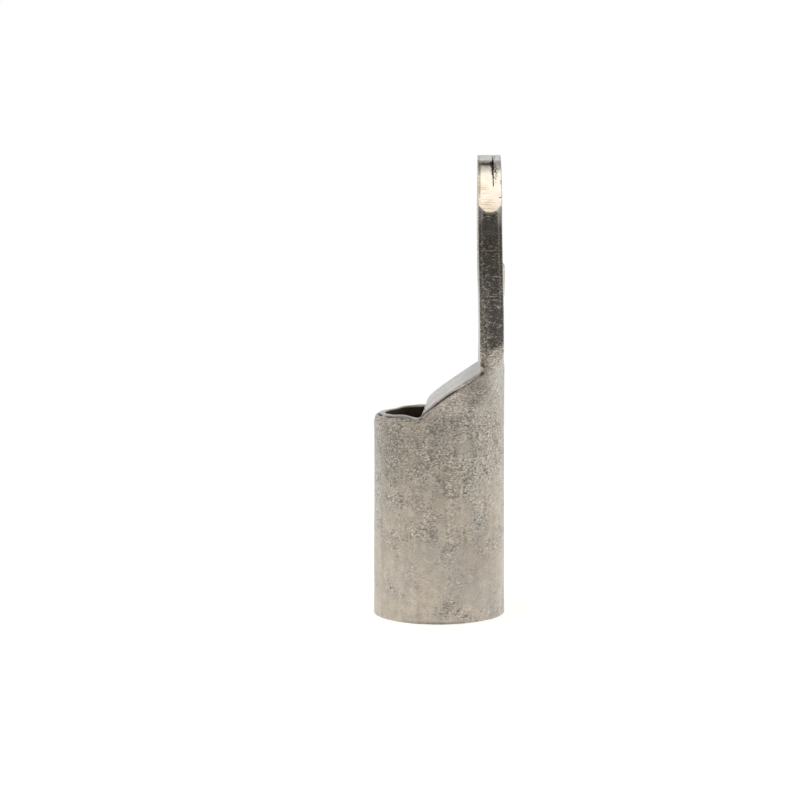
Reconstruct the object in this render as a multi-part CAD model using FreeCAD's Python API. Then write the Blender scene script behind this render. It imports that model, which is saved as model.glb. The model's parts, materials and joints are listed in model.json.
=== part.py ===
import FreeCAD, Part
import math
import os

# Tinned copper cable lug made from one length of round tube.
# The tube axis is Z, the cable goes in at z = 0 and the palm points up.
# The tube is sawn part-way in from the -X side, and everything above the cut is
# pressed flat against the +X wall: barrel, open window, sloping ramp, flat palm.

V = FreeCAD.Vector

# barrel
BARREL_OD = 21.0
WALL = 1.9
SILL_Z = 32.3            # height of the sawn rim above the cable entry
SAW_DEPTH = 7.75         # how far the cut goes in from the front of the barrel
RIM_ROUND_IN = 1.0       # rounding of the rim's outer edge, across the wall
RIM_ROUND_DOWN = 1.8     # the same rounding, down the barrel
RIM_FADE = 1.5           # how fast that rounding fades towards the lip
ENTRY_CHAMFER = 0.3      # broken edge inside the cable entry
BORE_FLARE = 0.15        # the bore opens by this much from just under the lip up to the rim
LIP_CLEAR = 0.1          # the straight bore ends this far under the lip

# ramp between window and palm
RAMP_RISE = 7.2          # height of the palm root above the rim
KNEE_ALONG = 4.0         # place of the ramp's knee, along the slope
KNEE_RISE = 0.85         # height of the knee's control point above the straight slope
FOLD_R = 1.5             # outer radius of the ramp's folded edges, at the lip
ROOT_FOLD_R = 0.8        # the same where the ramp meets the palm
FLATTENING = 4.0         # height above the palm root where the back is flat too

# palm
TOTAL_L = 73.6
PALM_W = 30.5
PRESSED = 0.1            # the palm is this much thinner than its two walls
PALM_SET_IN = 0.35       # palm's back face lies this far inside the barrel's back line
PALM_END_RISE = 9.75     # height of the round sheared end, from the edges to the tip
EDGE_BULGE = 0.45        # how far the folded edges stand out in the middle
EDGE_R = 0.25            # small radius where edges meet the flat faces
HOLE_D = 13.0
HOLE_TO_END = 16.1       # stud hole centre to the tip

# seam between the two pressed walls, open a little at the sheared end
SEAM_W = 0.25
SEAM_DEPTH = 0.5
SEAM_ANGLE = 48.0        # seen this far to either side of the tip, in degrees

BARREL_R = BARREL_OD / 2
BORE_R = BARREL_R - WALL
PALM_T = 2 * WALL - PRESSED
HALF_W = PALM_W / 2
PALM_END_R = (HALF_W ** 2 + PALM_END_RISE ** 2) / (2 * PALM_END_RISE)
BACK_X = BARREL_R - PALM_SET_IN
FRONT_X = BACK_X - PALM_T
ROOT_Z = SILL_Z + RAMP_RISE
LIP_X = SAW_DEPTH - BARREL_R
CLEAR = 5.0              # how far cutting tools stand out past the metal
STEPS = 5                # stretches between the sections of a lofted form
FOLD_PULL = 0.55         # pull that makes a curve's corner round
BOW_SHARE = 0.75         # a curve's middle gets this share of its pulls' height
TINY = 1e-6              # less than this is straight
SIDE_END = math.radians(35)    # where the side of the neck passes into its back corner
CORNER_END = math.radians(62)  # and the corner into the back


def bezier(*poles):
    """One edge from its poles."""
    curve = Part.BezierCurve()
    curve.setPoles(list(poles))
    return curve.toShape()


def ramp_poles():
    """Lip, knee and palm root of the ramp's outer face, seen from the side."""
    lip = V(LIP_X, 0, SILL_Z)
    root = V(FRONT_X, 0, ROOT_Z)
    along = (root - lip).normalize()
    square = V(-along.z, 0, along.x)
    return lip, lip + along * KNEE_ALONG + square * KNEE_RISE, root


def ramp_point(t):
    """Point on the ramp's outer face, t from 0 at the lip to 1 at the palm root."""
    lip, knee, root = ramp_poles()
    return lip * (1 - t) ** 2 + knee * (2 * t * (1 - t)) + root * t ** 2


def ease(t):
    """Goes from 0 to 1 and leaves both ends level."""
    return t * t * (3 - 2 * t)


def half_width(t):
    """The tube widens from the barrel's radius nearly to the palm's half width."""
    return BARREL_R + (HALF_W - EDGE_BULGE - BARREL_R) * ease(t)


def arc_poles(centre_x, depth, width, a, b):
    """Four poles that follow a stretch of an ellipse from angle a to angle b."""
    reach = 4 / 3 * math.tan((b - a) / 4)

    def at(turn):
        return V(centre_x + depth * math.sin(turn), width * math.cos(turn), 0)

    def pull(turn):
        return V(depth * math.cos(turn), -width * math.sin(turn), 0) * reach

    return [at(a), at(a) + pull(a), at(b) - pull(b), at(b)]


def ellipse_sizes(t):
    """Centre and depth of the ellipse behind the ramp, and the fold's radius."""
    radius = FOLD_R + (ROOT_FOLD_R - FOLD_R) * t
    centre_x = ramp_point(t).x - LIP_X * (1 - t) + radius * t
    return centre_x, BARREL_R - centre_x, radius


def ramp_poles_across(t):
    """Half of the neck's outline behind the ramp: fold, side, corner and back."""
    front_x = ramp_point(t).x
    width = half_width(t)
    centre_x, depth, radius = ellipse_sizes(t)
    turns = [math.asin((front_x + radius - centre_x) / depth), SIDE_END, CORNER_END, math.pi / 2]
    arcs = [arc_poles(centre_x, depth, width, a, b) for a, b in zip(turns, turns[1:])]
    end = arcs[0][0]
    along = V(-depth * math.cos(turns[0]), width * math.sin(turns[0]), 0).normalize()
    start = V(front_x, end.y - radius, 0)
    reach = FOLD_PULL * radius
    return [[start, start + V(0, reach, 0), end + along * reach, end]] + arcs


def palm_poles_across():
    """Half of the palm's outline: corner, bulged edge, corner and flat back."""
    side = HALF_W - EDGE_BULGE
    third = (PALM_T - 2 * EDGE_R) / 3
    rise = EDGE_BULGE / BOW_SHARE
    begin = V(FRONT_X + EDGE_R, side, 0)
    end = V(BACK_X - EDGE_R, side, 0)
    lean = V(third, rise, 0).normalize() * (EDGE_R * FOLD_PULL)
    edge = [begin, begin + V(third, rise, 0), end + V(-third, rise, 0), end]
    front = V(FRONT_X, side - EDGE_R, 0)
    back = V(BACK_X, side - EDGE_R, 0)
    up = V(0, EDGE_R * FOLD_PULL, 0)
    return [
        [front, front + up, begin - lean, begin],
        edge,
        [end, end + V(lean.x, -lean.y, 0), back + up, back],
        [back * (1 - k / 3) + V(BACK_X, 0, 0) * (k / 3) for k in range(4)],
    ]


def edge_along(poles):
    """A straight row of poles gives a true line, so its face is a true plane."""
    first, last = poles[0], poles[-1]
    bow = max((p - first).cross(last - first).Length for p in poles[1:-1])
    return bezier(*poles) if bow > TINY else Part.makeLine(first, last)


def outline(half, z):
    """Closed outline from the poles of its +Y half, the -Y half being its mirror."""
    lifted = [[V(p.x, p.y, z) for p in poles] for poles in half]
    other = [[V(p.x, -p.y, z) for p in reversed(poles)] for poles in reversed(half)]
    front = Part.makeLine(other[-1][-1], lifted[0][0])
    return Part.Wire([front] + [edge_along(poles) for poles in lifted + other])


def lip_section():
    """The lowest outline: the barrel's own circle with its front cut off flat."""
    half = ramp_poles_across(0.0)
    ends = [poles[0] for poles in half[1:]] + [V(BARREL_R, 0, 0)]
    ends += [V(p.x, -p.y, 0) for p in reversed(ends[:-1])]
    edges = []
    for a, b in zip(ends, ends[1:]):
        middle = (a + b).normalize() * BARREL_R
        edges.append(Part.Arc(a, middle, b).toShape())
    fold = half[0]
    other = [V(p.x, -p.y, 0) for p in reversed(fold)]
    front = Part.makeLine(other[-1], fold[0])
    wire = Part.Wire([front, bezier(*fold)] + edges + [bezier(*other)])
    wire.translate(V(0, 0, SILL_Z))
    return wire


def ramp_section(t):
    """Outline of the neck at a point of the ramp."""
    return outline(ramp_poles_across(t), ramp_point(t).z)


def root_section(u):
    """Outline between the top of the ramp, u = 0, and the flat palm, u = 1."""
    share = 1 - (1 - u) ** 2
    half = []
    for low, high in zip(ramp_poles_across(1.0), palm_poles_across()):
        half.append([a * (1 - share) + b * share for a, b in zip(low, high)])
    return outline(half, ROOT_Z + FLATTENING * u)


def neck():
    """Outer form from the rim up to where the palm is flat on both faces."""
    sections = [lip_section()] + [ramp_section((i + 1) / STEPS) for i in range(STEPS)]
    ramp = Part.makeLoft(sections, True, False)
    root = Part.makeLoft([root_section(i / STEPS) for i in range(STEPS + 1)], True, False)
    return ramp.fuse(root)


def palm():
    """The flat part with its round sheared end."""
    start = ROOT_Z + FLATTENING
    plate = Part.Face(root_section(1.0)).extrude(V(0, 0, TOTAL_L - start + CLEAR))
    shoulder = TOTAL_L - PALM_END_RISE
    low = start - CLEAR
    corners = [
        V(0, -HALF_W, shoulder),
        V(0, -HALF_W, low),
        V(0, HALF_W, low),
        V(0, HALF_W, shoulder),
    ]
    sides = Part.makePolygon(corners).Edges
    end = Part.Arc(corners[3], V(0, 0, TOTAL_L), corners[0]).toShape()
    blank = Part.Face(Part.Wire(sides + [end])).extrude(V(BARREL_OD, 0, 0))
    return plate.common(blank)


def cavity():
    """The bore, its flared top, and its wedge-shaped end under the ramp."""
    top = inner_ramp_poles()[0].z - LIP_CLEAR
    bore = Part.makeCylinder(BORE_R, top + CLEAR, V(0, 0, -CLEAR))
    flare = Part.makeCone(BORE_R, BORE_R + BORE_FLARE, SILL_Z - top, V(0, 0, top))
    rings = []
    for i in range(STEPS + 1):
        t = i / STEPS
        z = ramp_point(t).z
        centre_x, depth, radius = ellipse_sizes(t)
        wall = WALL - BORE_FLARE * (1 - t)
        side = V(centre_x, half_width(t) - wall, z)
        back = V(centre_x + depth - wall, 0, z)
        rings.append(Part.Wire(Part.Ellipse(side, back, V(centre_x, 0, z)).toShape()))
    wedge = Part.makeLoft(rings, True, False)
    return bore.fuse([flare, wedge]).common(under_ramp())


def inner_ramp_poles():
    """Lip, knee and root of the ramp's inner face, one wall under the outer face."""
    lip, knee, root = ramp_poles()
    first = (knee - lip).normalize()
    last = (root - knee).normalize()
    first_in = V(first.z, 0, -first.x) * WALL
    last_in = V(last.z, 0, -last.x) * WALL
    between = (first_in + last_in) / (1 + first.dot(last))
    return lip + first_in, knee + between, root + last_in


def under_ramp():
    """Everything below the inner face of the ramp and in front of its sawn lip."""
    lip, knee, root = inner_ramp_poles()
    outer_lip = ramp_poles()[0]
    far = root + (root - knee).normalize() * BARREL_OD
    out = lip + (outer_lip - lip).normalize() * BARREL_OD
    low = -2 * CLEAR
    front = -BARREL_OD
    rest = [far, V(far.x, 0, low), V(front, 0, low), V(front, 0, out.z), out, lip]
    edges = [bezier(lip, knee, root), Part.makeLine(root, far)]
    edges += Part.makePolygon(rest).Edges
    face = Part.Face(Part.Wire(edges))
    face.translate(V(0, -BARREL_OD, 0))
    return face.extrude(V(0, 2 * BARREL_OD, 0))


def rim_rounding():
    """Ring that rounds the front of the rim. Its axis is off centre, so it fades by the lip."""
    shift = RIM_ROUND_IN * RIM_FADE
    inner = BARREL_R + 2 * shift - RIM_ROUND_IN
    wall = BARREL_R + 2 * shift
    low = SILL_Z - RIM_ROUND_DOWN
    top = SILL_Z + CLEAR
    round_edge = Part.Ellipse(V(inner, 0, SILL_Z), V(wall, 0, low), V(inner, 0, low))
    arc = Part.ArcOfEllipse(round_edge, 0, math.pi / 2).toShape()
    rest = [
        V(wall, 0, low),
        V(wall + CLEAR, 0, low),
        V(wall + CLEAR, 0, top),
        V(inner, 0, top),
        V(inner, 0, SILL_Z),
    ]
    section = Part.Face(Part.Wire([arc] + Part.makePolygon(rest).Edges))
    ring = section.revolve(V(shift, 0, 0), V(0, 0, 1), 360)
    reach = 2 * BARREL_OD
    window = Part.makeBox(reach, 2 * reach, reach, V(LIP_X - reach, -reach, low - CLEAR))
    return ring.common(window)


def seam():
    """Shallow open line between the two walls along the sheared end."""
    centre = V(BACK_X - PALM_T / 2 - SEAM_W / 2, 0, TOTAL_L - PALM_END_R)
    axis = V(1, 0, 0)
    outer = Part.makeCylinder(PALM_END_R + CLEAR, SEAM_W, centre, axis)
    inner = Part.makeCylinder(PALM_END_R - SEAM_DEPTH, SEAM_W, centre, axis)
    reach = 2 * PALM_END_R
    sine = math.sin(math.radians(SEAM_ANGLE))
    cosine = math.cos(math.radians(SEAM_ANGLE))
    wedge = Part.Face(Part.makePolygon([
        centre,
        centre + V(0, -reach * sine, reach * cosine),
        centre + V(0, 0, reach),
        centre + V(0, reach * sine, reach * cosine),
        centre,
    ])).extrude(V(SEAM_W, 0, 0))
    return outer.cut(inner).common(wedge)


def lug():
    """One piece of tube, sawn, pressed, sheared and pierced."""
    barrel = Part.makeCylinder(BARREL_R, SILL_Z)
    body = barrel.fuse([neck(), palm()]).removeSplitter()
    entry = Part.makeCone(BORE_R + ENTRY_CHAMFER, BORE_R, ENTRY_CHAMFER)
    hole_z = TOTAL_L - HOLE_TO_END
    hole = Part.makeCylinder(HOLE_D / 2, 2 * CLEAR, V(FRONT_X - CLEAR / 2, 0, hole_z), V(1, 0, 0))
    body = body.cut(cavity())
    return body.cut([entry, hole, rim_rounding(), seam()])


def main():
    shape = lug()
    solids = shape.Solids
    if len(solids) == 1:
        shape = solids[0]
    print("solids", len(solids), "valid", shape.isValid(), "volume", round(shape.Volume, 1))
    os.makedirs("parts", exist_ok=True)
    shape.exportStep("parts/lug_body.step")


main()
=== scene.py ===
import json
import logging
import math
from dataclasses import dataclass
from enum import Enum
from functools import partial
from typing import Dict, List, Optional, Sequence, Tuple, Union

import bmesh
import bpy
import numpy as np
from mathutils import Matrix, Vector, noise


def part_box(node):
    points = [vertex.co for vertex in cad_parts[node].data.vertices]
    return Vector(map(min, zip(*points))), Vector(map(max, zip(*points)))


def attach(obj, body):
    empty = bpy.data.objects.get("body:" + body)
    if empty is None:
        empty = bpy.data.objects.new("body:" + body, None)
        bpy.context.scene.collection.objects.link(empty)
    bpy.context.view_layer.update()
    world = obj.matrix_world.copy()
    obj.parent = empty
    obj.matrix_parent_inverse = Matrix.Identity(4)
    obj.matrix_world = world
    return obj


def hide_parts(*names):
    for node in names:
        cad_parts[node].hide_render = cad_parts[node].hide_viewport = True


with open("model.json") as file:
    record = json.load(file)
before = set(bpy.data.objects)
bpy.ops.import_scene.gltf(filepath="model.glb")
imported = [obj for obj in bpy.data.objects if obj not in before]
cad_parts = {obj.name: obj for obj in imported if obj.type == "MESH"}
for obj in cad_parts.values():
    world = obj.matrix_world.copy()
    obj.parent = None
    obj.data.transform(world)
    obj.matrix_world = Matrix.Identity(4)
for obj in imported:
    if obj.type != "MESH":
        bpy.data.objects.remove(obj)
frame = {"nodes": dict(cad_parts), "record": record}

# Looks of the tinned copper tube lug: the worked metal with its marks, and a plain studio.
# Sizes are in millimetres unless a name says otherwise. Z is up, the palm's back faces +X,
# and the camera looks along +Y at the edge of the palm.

MM = 0.001
NODE = "lug_body"
# how deep each point lies in a groove, which the material turns into painted shade and dirt
GROOVE_SHADE_AND_DIRT = "grime"

Colour = Tuple[float, float, float, float]
Socket = bpy.types.NodeSocket
Value = Union[float, Sequence[float], Socket]
Span = Tuple[float, float]
Bound = Tuple[Socket, float, Span]

log = logging.getLogger("lug")


def to_linear(hex_colour: str) -> Colour:
    """Turns an sRGB hex colour into linear values.

    Args:
        hex_colour: Six hex digits, with or without a leading hash.

    Returns:
        Red, green, blue and an alpha of 1.
    """
    digits = hex_colour.lstrip("#")
    shares = [int(digits[i:i + 2], 16) / 255 for i in (0, 2, 4)]
    red, green, blue = (s / 12.92 if s <= 0.04045 else ((s + 0.055) / 1.055) ** 2.4 for s in shares)
    return red, green, blue, 1.0


def add_node(
    tree: bpy.types.NodeTree,
    kind: str,
    inputs: Optional[Dict[Union[str, int], Value]] = None,
    **settings: object,
) -> Socket:
    """Adds one node with its settings and links.

    Args:
        tree: The tree that gets the node.
        kind: The node's type, such as ShaderNodeMath.
        inputs: For each input, by name or number, a value or the output that feeds it.
        settings: The node's own properties.

    Returns:
        The new node's first output that is in use, or nothing where it has none.
    """
    made = tree.nodes.new(kind)
    for name, value in settings.items():
        setattr(made, name, value)
    for name, value in (inputs or {}).items():
        if isinstance(value, bpy.types.NodeSocket):
            tree.links.new(value, made.inputs[name])
        else:
            made.inputs[name].default_value = value
    return next((output for output in made.outputs if output.enabled), None)


@dataclass(frozen=True)
class Fade:
    """How one value of a material follows another: from low to high between two places."""

    start: float
    stop: float
    low: float = 0.0
    high: float = 1.0

    def inputs(self, value: Socket) -> Dict[Union[str, int], Value]:
        """Gives the inputs of a range node that makes a value follow this fade."""
        span = {"From Min": self.start, "From Max": self.stop}
        return {"Value": value, **span, "To Min": self.low, "To Max": self.high}


def share_past(values: np.ndarray, span: Span, line: float = 0.0) -> np.ndarray:
    """Goes smoothly from 0 to 1 over a span that is measured from a line.

    Args:
        values: The values to map.
        span: Where the share is 0 and where it is 1. The second may be less than the first.
        line: What the span is measured from.

    Returns:
        The share for each value.
    """
    low, high = line + span[0], line + span[1]
    share = np.clip((values - low) / (high - low), 0.0, 1.0)
    return share * share * (3 - 2 * share)


def rough_field(points: np.ndarray, grain: float, seed: float) -> np.ndarray:
    """Smooth random field of about -1 to 1, the same each run, with its swells a grain apart."""
    shifted = points / grain + seed
    return np.array([noise.noise(Vector(p)) for p in shifted])


def ridge(offset: np.ndarray, width: Union[float, np.ndarray]) -> np.ndarray:
    """Is 1 where the offset is 0 and drops smoothly to nearly 0 two widths away."""
    return np.exp(-((offset / width) ** 2))


@dataclass(frozen=True)
class LugSizes:
    """The lug's sizes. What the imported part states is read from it, the rest repeats its source."""

    barrel_r: float
    bore_r: float
    half_palm: float
    top: float
    palm_back: float
    palm_front: float
    hole_r: float
    hole_z: float
    sill: float = 32.3
    lip_x: float = -2.75
    ramp_rise: float = 7.2
    knee_along: float = 4.0
    knee_rise: float = 0.85
    flattening: float = 4.0
    end_rise: float = 9.75
    bulge: float = 0.45
    ramp_steps: int = 40

    @classmethod
    def from_frame(cls, record: dict) -> "LugSizes":
        """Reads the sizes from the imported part.

        Args:
            record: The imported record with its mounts.

        Returns:
            The lug's sizes.
        """
        low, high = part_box(NODE)
        mounts = {mount["name"]: mount for mount in record["mounts"]}
        hole = mounts["stud_hole"]
        back = mounts["palm_back"]["pos_m"][0] / MM
        return cls(
            barrel_r=-low[0] / MM,
            bore_r=mounts["cable_bore"]["dims"]["r_mm"],
            half_palm=high[1] / MM,
            top=high[2] / MM,
            palm_back=back,
            palm_front=back - hole["dims"]["length_mm"],
            hole_r=hole["dims"]["r_mm"],
            hole_z=hole["pos_m"][2] / MM,
        )

    @property
    def seam_x(self) -> float:
        """Where the two pressed walls meet."""
        return (self.palm_back + self.palm_front) / 2

    @property
    def root(self) -> float:
        """Height where the ramp meets the palm."""
        return self.sill + self.ramp_rise

    @property
    def shoulder(self) -> float:
        """Height where the palm's straight edges end and its round end begins."""
        return self.top - self.end_rise

    @property
    def end_r(self) -> float:
        """Radius of the palm's round sheared end."""
        return (self.half_palm ** 2 + self.end_rise ** 2) / (2 * self.end_rise)

    @property
    def end_axis_z(self) -> float:
        """Height of the axis of the round sheared end."""
        return self.top - self.end_r

    @property
    def ramp_slope(self) -> float:
        """Rise of the ramp for each millimetre towards the palm."""
        return self.ramp_rise / (self.palm_front - self.lip_x)

    def ramp_height(self, x: np.ndarray) -> np.ndarray:
        """Height of the ramp's outer face.

        Args:
            x: Places along X.

        Returns:
            The height at each place.
        """
        t = np.linspace(0.0, 1.0, self.ramp_steps + 1)
        run = self.palm_front - self.lip_x
        length = math.hypot(run, self.ramp_rise)
        knee_x = self.lip_x + (self.knee_along * run - self.knee_rise * self.ramp_rise) / length
        knee_z = self.sill + (self.knee_along * self.ramp_rise + self.knee_rise * run) / length
        xs = self.lip_x * (1 - t) ** 2 + knee_x * 2 * t * (1 - t) + self.palm_front * t ** 2
        zs = self.sill * (1 - t) ** 2 + knee_z * 2 * t * (1 - t) + self.root * t ** 2
        return np.interp(x, xs, zs)


def place_on_end(points: np.ndarray, sizes: LugSizes) -> Tuple[np.ndarray, np.ndarray]:
    """Finds where points lie on the palm's round sheared end.

    Args:
        points: Points in millimetres, one a row.
        sizes: The lug's sizes.

    Returns:
        How far each point is turned from the tip, in degrees, and how far it is from the axis.
    """
    up = points[:, 2] - sizes.end_axis_z
    turn = np.degrees(np.arctan2(np.abs(points[:, 1]), up))
    return turn, np.hypot(points[:, 1], up)


class Mark:
    """One mark that making the lug left on its surface.

    A span runs from where the mark starts to where it is full. It is measured from the line or
    edge of the lug that the depth method gives it, and from 0 where it gives none.
    """

    def depth(self, points: np.ndarray, sizes: LugSizes) -> np.ndarray:
        """Works out how far the mark raises the surface at each point, under 0 in a groove."""
        raise NotImplementedError


@dataclass(frozen=True)
class Swell(Mark):
    """Gentle unevenness, such as drawing, pressing and tinning leave."""

    grain: float
    height: float
    seed: float

    def depth(self, points: np.ndarray, sizes: LugSizes) -> np.ndarray:
        """Gives the swell's height at each point."""
        return self.height * rough_field(points, self.grain, self.seed)


@dataclass(frozen=True)
class Dimple(Mark):
    """One small round dent, or a knob where its height is positive."""

    centre: Tuple[float, float, float]
    radius: float
    height: float

    def depth(self, points: np.ndarray, sizes: LugSizes) -> np.ndarray:
        """Gives the dimple's height at each point."""
        away = np.linalg.norm(points - np.array(self.centre), axis=1)
        return self.height * ridge(away, self.radius)


@dataclass(frozen=True)
class RimWear(Mark):
    """What the saw and the pressing took off the rim: a little all round, more towards the lip."""

    everywhere: float = -0.04
    at_front: float = -0.14
    at_lip: float = -0.36
    uneven: Swell = Swell(grain=2.2, height=0.05, seed=71.0)
    under_sill: Span = (-0.9, -0.1)
    before_lip: Span = (0.5, -0.5)
    front_x: Span = (-5.8, -7.5)
    corner_x: Span = (-10.0, -8.8)
    towards_lip_x: Span = (-5.6, -3.2)
    towards_lip_y: Span = (-1.0, -4.0)

    def depth(self, points: np.ndarray, sizes: LugSizes) -> np.ndarray:
        """Works out how far the rim is worn down.

        Args:
            points: Points on the surface, one a row.
            sizes: The lug's sizes.

        Returns:
            The change of height at each point, along Z.
        """
        x, y, z = points.T
        rim = share_past(z, self.under_sill, sizes.sill)
        rim *= share_past(x, self.before_lip, sizes.lip_x)
        front = share_past(x, self.front_x) * share_past(x, self.corner_x)
        lip = share_past(x, self.towards_lip_x) * share_past(y, self.towards_lip_y)
        uneven = self.uneven.depth(points, sizes)
        return rim * (self.everywhere + self.at_front * front + self.at_lip * lip + uneven)


@dataclass(frozen=True)
class LipShade(Mark):
    """Worn edge of the ramp's lip, turned in towards the dark opening."""

    inside: float = 0.02
    width: float = 0.26
    height: float = -0.2
    over_sill: Span = (-0.2, 0.3)
    uneven: Swell = Swell(grain=1.1, height=0.5, seed=27.0)
    set_back: float = 0.26
    more_at_far_side: float = 0.2
    far_y: Span = (-2.0, 6.0)
    more_at_near_side: float = -0.4
    near_y: Span = (-5.5, -8.2)
    behind_lip: Span = (1.5, 0.1)
    before_lip: Span = (-0.9, -0.3)
    about_sill: Span = (-0.8, 0.2)

    def depth(self, points: np.ndarray, sizes: LugSizes) -> np.ndarray:
        """Works out how far the worn line along the lip lies in.

        Args:
            points: Points on the surface, one a row.
            sizes: The lug's sizes.

        Returns:
            The height at each point, under 0 in the line.
        """
        line = ridge(points[:, 0] - sizes.lip_x - self.inside, self.width)
        above = share_past(points[:, 2], self.over_sill, sizes.sill)
        return self.height * line * above * (1 + self.uneven.depth(points, sizes))

    def shift(self, points: np.ndarray, sizes: LugSizes) -> np.ndarray:
        """Works out how far the lip is set back.

        Args:
            points: Points on the surface, one a row.
            sizes: The lug's sizes.

        Returns:
            The shift of each point along X.
        """
        x, y, z = points.T
        near_lip = share_past(x, self.behind_lip, sizes.lip_x)
        near_lip *= share_past(x, self.before_lip, sizes.lip_x)
        back = self.set_back + self.more_at_far_side * share_past(y, self.far_y)
        back += self.more_at_near_side * share_past(y, self.near_y)
        return back * near_lip * share_past(z, self.about_sill, sizes.sill)


@dataclass(frozen=True)
class RimGroove(Mark):
    """Uneven groove under the saw burr that is pressed down over the rim."""

    below: float = 0.15
    width: float = 0.2
    height: float = -0.44
    outer: Span = (-1.1, -0.4)
    before_lip: Span = (-0.6, -2.2)
    wander: Swell = Swell(grain=2.6, height=0.1, seed=31.0)
    strength: float = 0.8
    uneven: Swell = Swell(grain=1.9, height=1.1, seed=47.0)
    least_and_most: Span = (0.2, 1.3)

    def depth(self, points: np.ndarray, sizes: LugSizes) -> np.ndarray:
        """Works out how deep the groove is.

        Args:
            points: Points on the surface, one a row.
            sizes: The lug's sizes.

        Returns:
            The height at each point, under 0 in the groove.
        """
        x, y, z = points.T
        outer = share_past(np.hypot(x, y), self.outer, sizes.barrel_r)
        front = share_past(x, self.before_lip, sizes.lip_x)
        line = ridge(z - sizes.sill + self.below + self.wander.depth(points, sizes), self.width)
        strength = self.strength + self.uneven.depth(points, sizes)
        return self.height * line * outer * front * np.clip(strength, *self.least_and_most)


@dataclass(frozen=True)
class FoldGroove(Mark):
    """Sharp crease under the edge of the pressed ramp, deepest part-way up."""

    below_lip: float = 0.22
    below_knee: float = 0.4
    below_root: float = 0.56
    to_knee_x: Span = (-2.4, 0.6)
    to_root_x: Span = (0.6, 5.0)
    width: float = 0.2
    least_width: float = 0.6
    more_width: float = 0.45
    height: float = -0.42
    least_depth: float = 0.5
    more_depth: float = 0.6
    deepest_x: float = 0.9
    spread: float = 2.6
    beside: Span = (7.0, 8.5)
    to_palm: Span = (0.4, -0.8)
    faint_share: float = 0.5
    faint_x: Span = (2.4, 4.0)
    from_lip: Span = (-0.7, 0.3)
    wander: Swell = Swell(grain=1.6, height=0.08, seed=9.0)
    uneven: Swell = Swell(grain=1.4, height=0.35, seed=5.0)

    def depth(self, points: np.ndarray, sizes: LugSizes) -> np.ndarray:
        """Works out how deep the crease is.

        Args:
            points: Points on the surface, one a row.
            sizes: The lug's sizes.

        Returns:
            The height at each point, under 0 in the crease.
        """
        x, y, z = points.T
        square_to_ramp = math.cos(math.atan(sizes.ramp_slope))
        under = (sizes.ramp_height(x) - z) * square_to_ramp + self.wander.depth(points, sizes)
        deep = ridge(x - self.deepest_x, self.spread)
        width = self.width * (self.least_width + self.more_width * deep)
        below = self.below_lip + (self.below_knee - self.below_lip) * share_past(x, self.to_knee_x)
        below += (self.below_root - self.below_knee) * share_past(x, self.to_root_x)
        side = share_past(np.abs(y), self.beside) * share_past(x, self.to_palm, sizes.palm_front)
        side *= 1.0 - self.faint_share * share_past(x, self.faint_x)
        start = share_past(x, self.from_lip, sizes.lip_x)
        uneven = 1.0 + self.uneven.depth(points, sizes)
        strength = self.least_depth + self.more_depth * deep
        return self.height * ridge(under - below, width) * side * strength * start * uneven


@dataclass(frozen=True)
class SeamTear(Mark):
    """The seam between the pressed walls, torn open and chipped where the shear broke through.

    Its place along the end is the turn from the tip, in degrees.
    """

    width: float = 0.06
    height: float = -0.21
    skin: Span = (-0.4, -0.1)
    start_turn: Span = (5.0, 13.0)
    end_turn: Span = (51.0, 47.0)
    thin_turn: Span = (44.0, 37.0)
    thin_share: float = 0.25
    widest_turn: float = 31.0
    wide_spread: float = 7.0
    gape: float = 0.2
    wander: Swell = Swell(grain=1.3, height=0.16, seed=12.0)
    ragged: Swell = Swell(grain=0.6, height=0.9, seed=3.0)
    rough: Swell = Swell(grain=0.35, height=0.8, seed=88.0)
    fork: float = 0.42
    fork_turn: Span = (26.0, 18.0)
    fork_ends: Span = (26.0, 23.0)
    chips: Swell = Swell(grain=0.3, height=1.0, seed=55.0)
    chips_level: Span = (0.04, 0.3)
    chips_past_widest: float = 3.0
    chips_spread: float = 8.0
    chips_beside: Span = (-0.1, 0.2)
    chips_reach: Span = (1.4, 0.8)

    def depth(self, points: np.ndarray, sizes: LugSizes) -> np.ndarray:
        """Works out how deep the tear and its chips are.

        Args:
            points: Points on the surface, one a row.
            sizes: The lug's sizes.

        Returns:
            The height at each point, under 0 in the tear.
        """
        turn, reach = place_on_end(points, sizes)
        zone = share_past(turn, self.start_turn) * share_past(turn, self.end_turn)
        zone *= self.thin_share + (1 - self.thin_share) * share_past(turn, self.thin_turn)
        wide = ridge(turn - self.widest_turn, self.wide_spread)
        width = self.width + self.gape * wide * (1 + self.ragged.depth(points, sizes))
        aside = points[:, 0] - sizes.seam_x + self.wander.depth(points, sizes)
        parted = self.fork * share_past(turn, self.fork_turn)
        second = ridge(aside - parted, self.width) * share_past(turn, self.fork_ends)
        tear = np.maximum(ridge(aside, width), second) * zone
        tear *= 1 + self.rough.depth(points, sizes)
        chips = share_past(self.chips.depth(points, sizes), self.chips_level)
        chips *= ridge(turn - self.widest_turn - self.chips_past_widest, self.chips_spread)
        chips *= share_past(aside, self.chips_beside) * share_past(aside, self.chips_reach)
        return self.height * np.maximum(tear, chips) * share_past(reach, self.skin, sizes.end_r)


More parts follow.
